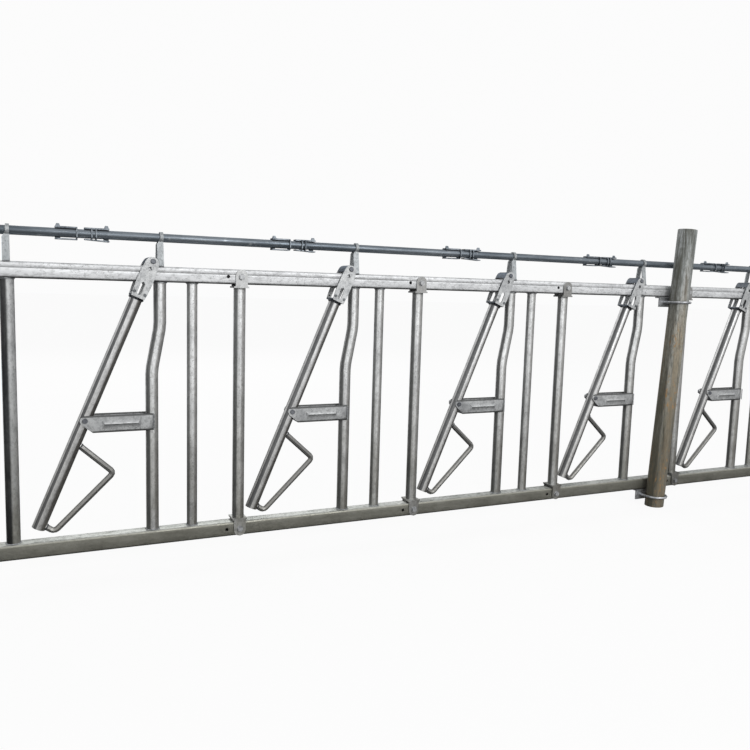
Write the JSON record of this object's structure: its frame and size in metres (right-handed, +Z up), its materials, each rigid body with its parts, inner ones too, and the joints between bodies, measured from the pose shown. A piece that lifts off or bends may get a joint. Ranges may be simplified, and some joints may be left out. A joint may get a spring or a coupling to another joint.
{
  "type": "cattle headlock",
  "caption": "Self-catching feed fence panel: rails, posts, swinging neck bars on pivots, a turning control pipe with latches, and a clamped support post.",
  "frame": {"origin": "on the underside of the bottom rail, straight below the centre of the left end post", "axes": "+X along the run of feeding places to the right as seen from the feed side, -Y towards the feed side, +Z up"},
  "size_m": [3.9, 0.1726, 1.3513],
  "materials": {
    "galvanised": "hot-dip galvanised, light grey with a faint spangle",
    "galvanised_dull": "galvanised and dulled by handling",
    "dark_steel": "dark blue-grey, satin",
    "bolt_steel": "zinc-plated, dulled",
    "weathered_steel": "weathered brown-grey with rust stains"
  },
  "bodies": {
    "frame": {"bottom_rail": "galvanised", "top_rail": "galvanised", "end_post_left": "galvanised", "end_post_right": "galvanised", "spacer_tube_1": "galvanised", "spacer_tube_2": "galvanised", "spacer_tube_3": "galvanised", "spacer_tube_5": "galvanised", "neck_tube_1": "galvanised", "neck_tube_2": "galvanised", "neck_tube_3": "galvanised", "neck_tube_4": "galvanised", "neck_tube_5": "galvanised", "adjustable_post_1": "galvanised", "adjustable_post_2": "galvanised", "adjustable_post_3": "galvanised", "adjustable_post_4": "galvanised", "pivot_bracket_1": "galvanised", "pivot_bracket_2": "galvanised", "pivot_bracket_3": "galvanised", "pivot_bracket_4": "galvanised", "pivot_bracket_5": "galvanised", "pivot_bolt_1": "bolt_steel", "pivot_bolt_2": "bolt_steel", "pivot_bolt_3": "bolt_steel", "pivot_bolt_4": "bolt_steel", "pivot_bolt_5": "bolt_steel", "pipe_strap_1": "galvanised", "pipe_strap_2": "galvanised", "pipe_strap_3": "galvanised", "pipe_strap_4": "galvanised", "pipe_strap_5": "galvanised", "pipe_strap_6": "galvanised", "support_post": "weathered_steel", "clamp_plate_lower": "dark_steel", "u_bolt_lower": "bolt_steel", "clamp_plate_upper": "dark_steel", "u_bolt_upper": "bolt_steel"},
    "swing_bar_assembly_1": {"swing_bar_1": "galvanised_dull", "head_bracket_1": "galvanised", "catch_pin_1": "bolt_steel"},
    "swing_bar_assembly_2": {"swing_bar_2": "galvanised_dull", "head_bracket_2": "galvanised", "catch_pin_2": "bolt_steel"},
    "swing_bar_assembly_3": {"swing_bar_3": "galvanised_dull", "head_bracket_3": "galvanised", "catch_pin_3": "bolt_steel"},
    "swing_bar_assembly_4": {"swing_bar_4": "galvanised_dull", "head_bracket_4": "galvanised", "catch_pin_4": "bolt_steel"},
    "swing_bar_assembly_5": {"swing_bar_5": "galvanised_dull", "head_bracket_5": "galvanised", "catch_pin_5": "bolt_steel"},
    "control_shaft": {"control_pipe": "dark_steel", "latch_1": "dark_steel", "latch_2": "dark_steel", "latch_3": "dark_steel", "latch_4": "dark_steel", "latch_5": "dark_steel"}
  },
  "joints": [
    {"name": "swing_1", "type": "hinge", "parent": "frame", "child": "swing_bar_assembly_1", "pos_m": [0.2312, 0, 0.4689], "axis": [0, -1, 0], "range_deg": [0, 22.5]},
    {"name": "swing_2", "type": "hinge", "parent": "frame", "child": "swing_bar_assembly_2", "pos_m": [0.9812, 0, 0.4689], "axis": [0, -1, 0], "range_deg": [0, 22.5]},
    {"name": "swing_3", "type": "hinge", "parent": "frame", "child": "swing_bar_assembly_3", "pos_m": [1.7312, 0, 0.4689], "axis": [0, -1, 0], "range_deg": [0, 22.5]},
    {"name": "swing_4", "type": "hinge", "parent": "frame", "child": "swing_bar_assembly_4", "pos_m": [2.4812, 0, 0.4689], "axis": [0, -1, 0], "range_deg": [0, 22.5]},
    {"name": "swing_5", "type": "hinge", "parent": "frame", "child": "swing_bar_assembly_5", "pos_m": [3.2312, 0, 0.4689], "axis": [0, -1, 0], "range_deg": [0, 22.5]},
    {"name": "control_turn", "type": "hinge", "parent": "frame", "child": "control_shaft", "pos_m": [0, 0, 1.10702], "axis": [-1, 0, 0], "range_deg": [0, 90]}
  ]
}
